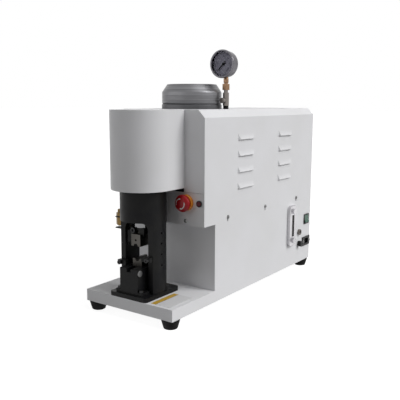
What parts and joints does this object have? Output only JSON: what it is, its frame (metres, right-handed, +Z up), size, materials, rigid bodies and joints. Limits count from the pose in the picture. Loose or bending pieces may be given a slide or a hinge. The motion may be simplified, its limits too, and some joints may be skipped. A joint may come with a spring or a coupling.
{
  "type": "hydraulic terminal crimping machine",
  "caption": "Bench-top hydraulic terminal crimping machine: black press column with dies on a white base plate, louvred white housing, top cap, pressure gauge and stop button.",
  "frame": {"origin": "middle of the whole outline seen from above, on the floor under the rubber feet", "axes": "+Z up, +Y from the press column towards the rear panel, +X to the operator's right, the side with the switch, inlet and level gauge"},
  "size_m": [0.279, 0.7064, 0.621],
  "materials": {
    "white_paint": "satin off-white powder coat",
    "panel_paint": "satin light grey powder coat",
    "zinc_steel": "zinc-plated sheet",
    "black_rubber": "matt black rubber",
    "screw_steel": "plain machine screws",
    "black_steel": "blackened steel, lightly oiled",
    "ground_steel": "ground tool steel",
    "chromed_steel": "hard-chromed and polished",
    "nickel_steel": "satin nickel plate",
    "brass": "dull nickel-brass",
    "turned_aluminium": "turned and brushed",
    "motor_paint": "grey motor paint",
    "dial_white": "plain white dial card",
    "pointer_black": "matt black",
    "clear_glass": "clear",
    "yellow_plastic": "moulded yellow",
    "red_plastic": "moulded red",
    "dark_red_plastic": "moulded dark red",
    "black_plastic": "moulded black",
    "green_plastic": "translucent green",
    "clear_plastic": "clear tube with oil behind it",
    "label_foil": "bare foil plate"
  },
  "bodies": {
    "machine": {"base_plate": "white_paint", "rubber_feet": "black_rubber", "foot_screws": "zinc_steel", "lower_cabinet": "white_paint", "deck_plate": "zinc_steel", "rear_panel": "white_paint", "housing_cover": "white_paint", "cover_screws": "screw_steel", "front_panel": "panel_paint", "button_panel": "panel_paint", "head_cover": "white_paint", "column": "black_steel", "flange_bolts": "zinc_steel", "cylinder_barrel": "ground_steel", "cylinder_end_cap": "ground_steel", "lower_die": "ground_steel", "die_block": "black_steel", "socket_screws": "screw_steel", "block_side_screw": "chromed_steel", "guard_clips": "black_steel", "limit_sensor": "brass", "sensor_nut": "brass", "sensor_bracket": "black_steel", "cap_ring": "turned_aluminium", "motor_cap": "turned_aluminium", "motor_housing": "motor_paint", "motor_bearings": "ground_steel", "pump": "turned_aluminium", "oil_tank": "zinc_steel", "valve_block": "turned_aluminium", "oil_pipes": "zinc_steel", "gauge_grommet": "black_rubber", "gauge_valve": "nickel_steel", "gauge_union": "nickel_steel", "gauge_case": "nickel_steel", "gauge_dial": "dial_white", "gauge_glass": "clear_glass", "estop_collar": "yellow_plastic", "push_button_bezel": "black_plastic", "switch_frame": "black_plastic", "power_inlet": "black_plastic", "fuse_holder": "black_plastic", "pedal_socket": "turned_aluminium", "level_frame": "black_plastic", "level_tube": "clear_plastic", "level_bolts": "screw_steel", "label_plate": "label_foil"},
    "ram_group": {"piston": "ground_steel", "ram": "chromed_steel", "tool_holder": "black_steel", "holder_screw": "screw_steel", "upper_die": "ground_steel", "limit_arm": "black_steel"},
    "motor_shaft": {"motor_rotor": "ground_steel"},
    "stop_plunger": {"estop_plunger": "red_plastic"},
    "stop_head": {"estop_head": "red_plastic"},
    "start_button": {"push_button": "dark_red_plastic"},
    "switch_rocker": {"rocker": "green_plastic"},
    "needle": {"gauge_pointer": "pointer_black"},
    "valve_knob": {"gauge_valve_knob": "nickel_steel"}
  },
  "joints": [
    {"name": "ram_slide", "type": "slide", "parent": "machine", "child": "ram_group", "axis": [0, 0, -1], "range_m": [0, 0.03]},
    {"name": "motor_spin", "type": "hinge", "parent": "machine", "child": "motor_shaft", "pos_m": [-0.005, -0.08825, 0.212], "axis": [0, 0, 1], "continuous": true},
    {"name": "estop_press", "type": "slide", "parent": "machine", "child": "stop_plunger", "axis": [0, 1, 0], "range_m": [0, 0.004], "stiffness_N_per_m": 1500},
    {"name": "estop_twist", "type": "hinge", "parent": "stop_plunger", "child": "stop_head", "pos_m": [0.075, -0.21825, 0.266], "axis": [0, 1, 0], "range_deg": [0, 45], "stiffness_Nm_per_rad": 0.05},
    {"name": "button_press", "type": "slide", "parent": "machine", "child": "start_button", "axis": [0, 1, 0], "range_m": [0, 0.0025], "stiffness_N_per_m": 800},
    {"name": "rocker_tilt", "type": "hinge", "parent": "machine", "child": "switch_rocker", "pos_m": [0.124, 0.32275, 0.148], "axis": [0, 1, 0], "range_deg": [0, 20]},
    {"name": "gauge_needle", "type": "hinge", "parent": "machine", "child": "needle", "pos_m": [0.079, -0.06925, 0.587], "axis": [0, 1, 0], "range_deg": [0, 270], "stiffness_Nm_per_rad": 0.0002},
    {"name": "gauge_valve_turn", "type": "hinge", "parent": "machine", "child": "valve_knob", "pos_m": [0.079, -0.07125, 0.4998], "axis": [0, 1, 0], "range_deg": [0, 360]}
  ]
}
